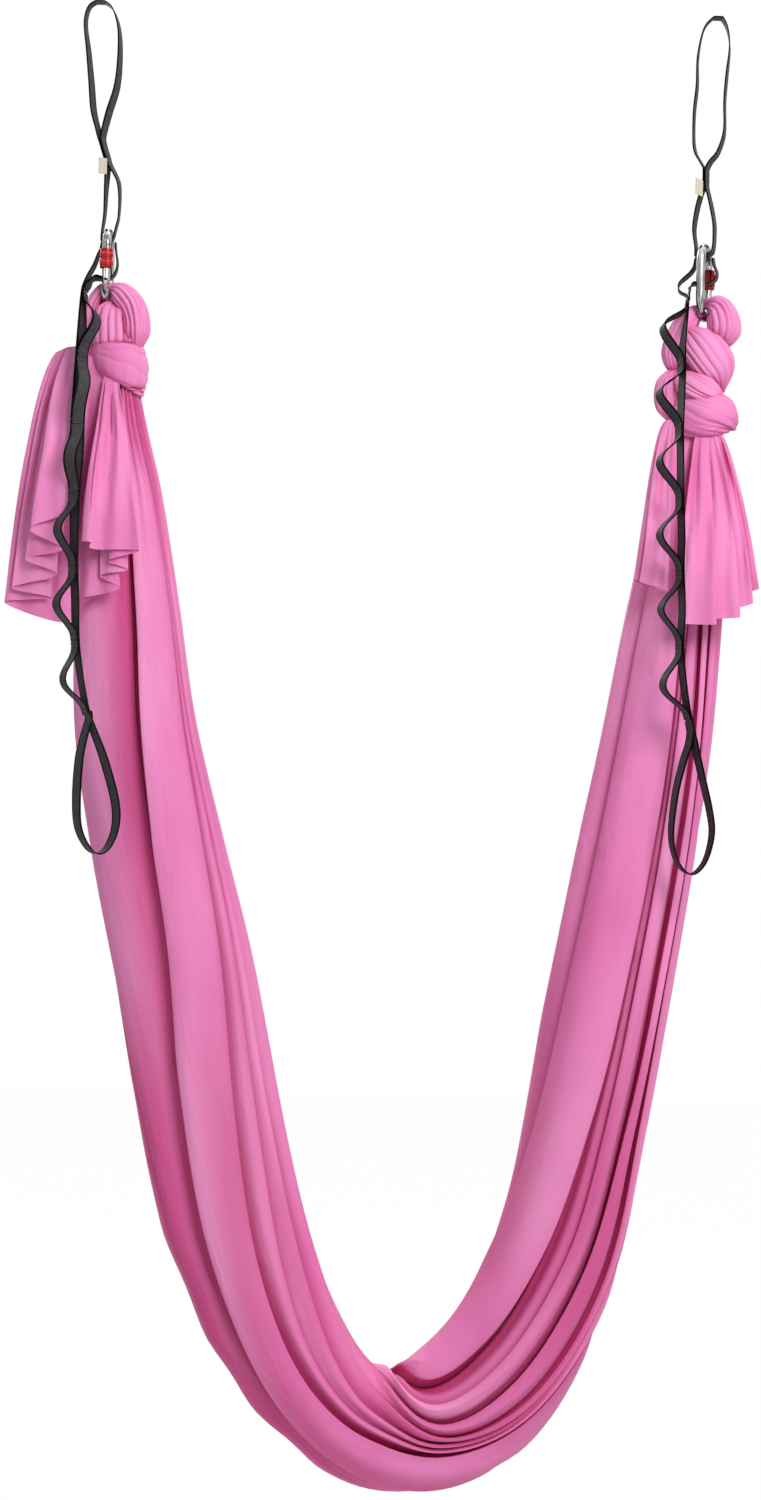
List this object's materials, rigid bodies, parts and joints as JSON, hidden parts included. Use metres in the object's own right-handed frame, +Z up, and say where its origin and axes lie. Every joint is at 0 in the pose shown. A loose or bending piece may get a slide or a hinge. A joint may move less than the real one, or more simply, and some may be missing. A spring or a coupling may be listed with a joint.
{
  "type": "aerial yoga hammock",
  "caption": "Gathered cloth sling for aerial yoga, knotted to screw-gate carabiners that hang in daisy-chain straps with loops for ceiling hooks.",
  "frame": {"origin": "middle of the line between the two points where the ceiling hooks bear in the straps' top loops", "axes": "+Z up, +X from the left hook to the right hook, -Y towards the viewer of the front"},
  "size_m": [1.0394, 0.248, 2.0776],
  "materials": {
    "pink_cloth": "pink stretch nylon tricot, matt with a soft sheen",
    "webbing": "black woven nylon webbing, sewn",
    "steel": "polished steel",
    "red_sleeve": "red anodised, grooved",
    "tag": "bare off-white woven tape"
  },
  "bodies": {
    "upper_straps": {"left_upper_strap": "webbing", "left_tag": "tag", "right_upper_strap": "webbing", "right_tag": "tag"},
    "hammock": {"left_clip_load_strand": "webbing", "left_clip_pocket_strand": "webbing", "left_carabiner_body": "steel", "left_gate_pin": "steel", "right_clip_load_strand": "webbing", "right_clip_pocket_strand": "webbing", "right_carabiner_body": "steel", "right_gate_pin": "steel", "hammock_sling": "pink_cloth", "left_knot_bight": "pink_cloth", "left_knot_wrap": "pink_cloth", "left_cloth_tail": "pink_cloth", "right_knot_bight": "pink_cloth", "right_knot_middle": "pink_cloth", "right_knot_side": "pink_cloth", "right_knot_wrap": "pink_cloth", "right_cloth_tail": "pink_cloth"},
    "left_tail": {"left_chain_strap": "webbing", "left_chain_pocket_3": "webbing", "left_chain_pocket_4": "webbing", "left_chain_pocket_5": "webbing", "left_chain_pocket_6": "webbing", "left_chain_pocket_7": "webbing", "left_chain_pocket_8": "webbing"},
    "left_gate": {"left_gate": "steel", "left_gate_plunger": "steel", "left_gate_spring": "steel"},
    "left_sleeve_nut": {"left_sleeve_bush": "steel"},
    "left_sleeve": {"left_screw_sleeve": "red_sleeve"},
    "right_tail": {"right_chain_strap": "webbing", "right_chain_pocket_3": "webbing", "right_chain_pocket_4": "webbing", "right_chain_pocket_5": "webbing", "right_chain_pocket_6": "webbing", "right_chain_pocket_7": "webbing", "right_chain_pocket_8": "webbing"},
    "right_gate": {"right_gate": "steel", "right_gate_plunger": "steel", "right_gate_spring": "steel"},
    "right_sleeve_nut": {"right_sleeve_bush": "steel"},
    "right_sleeve": {"right_screw_sleeve": "red_sleeve"}
  },
  "joints": [
    {"name": "hammock_swing", "type": "hinge", "parent": "upper_straps", "child": "hammock", "pos_m": [0, 0, -0.345], "axis": [1, 0, 0], "range_deg": [-25, 25]},
    {"name": "left_tail_swing", "type": "hinge", "parent": "hammock", "child": "left_tail", "pos_m": [-0.441, -0.0323, -0.409], "axis": [0, 1, 0], "range_deg": [0, 60]},
    {"name": "left_gate_hinge", "type": "hinge", "parent": "hammock", "child": "left_gate", "pos_m": [-0.412, -0.024, -0.395], "axis": [1, 0, 0], "range_deg": [-22, 0], "stiffness_Nm_per_rad": 0.3, "springref_deg": 17.19},
    {"name": "left_sleeve_travel", "type": "slide", "parent": "left_gate", "child": "left_sleeve_nut", "axis": [0, 0, 1], "range_m": [0, 0.008]},
    {"name": "left_sleeve_turn", "type": "hinge", "parent": "left_sleeve_nut", "child": "left_sleeve", "pos_m": [-0.412, -0.024, -0.362], "axis": [0, 0, 1], "range_deg": [0, 720]},
    {"name": "right_tail_swing", "type": "hinge", "parent": "hammock", "child": "right_tail", "pos_m": [0.3986, -0.0166, -0.3982], "axis": [0, 1, 0], "range_deg": [0, 60]},
    {"name": "right_gate_hinge", "type": "hinge", "parent": "hammock", "child": "right_gate", "pos_m": [0.43121, 0.02255, -0.395], "axis": [-0.9397, 0.342, 0], "range_deg": [-22, 0], "stiffness_Nm_per_rad": 0.3, "springref_deg": 17.19},
    {"name": "right_sleeve_travel", "type": "slide", "parent": "right_gate", "child": "right_sleeve_nut", "axis": [0, 0, 1], "range_m": [0, 0.008]},
    {"name": "right_sleeve_turn", "type": "hinge", "parent": "right_sleeve_nut", "child": "right_sleeve", "pos_m": [0.43121, 0.02255, -0.362], "axis": [0, 0, 1], "range_deg": [0, 720]}
  ],
  "couplings": [
    {"joint": "left_sleeve_turn", "follows": "left_sleeve_travel", "rad_per_m": 1570.8},
    {"joint": "right_sleeve_turn", "follows": "right_sleeve_travel", "rad_per_m": 1570.8}
  ]
}
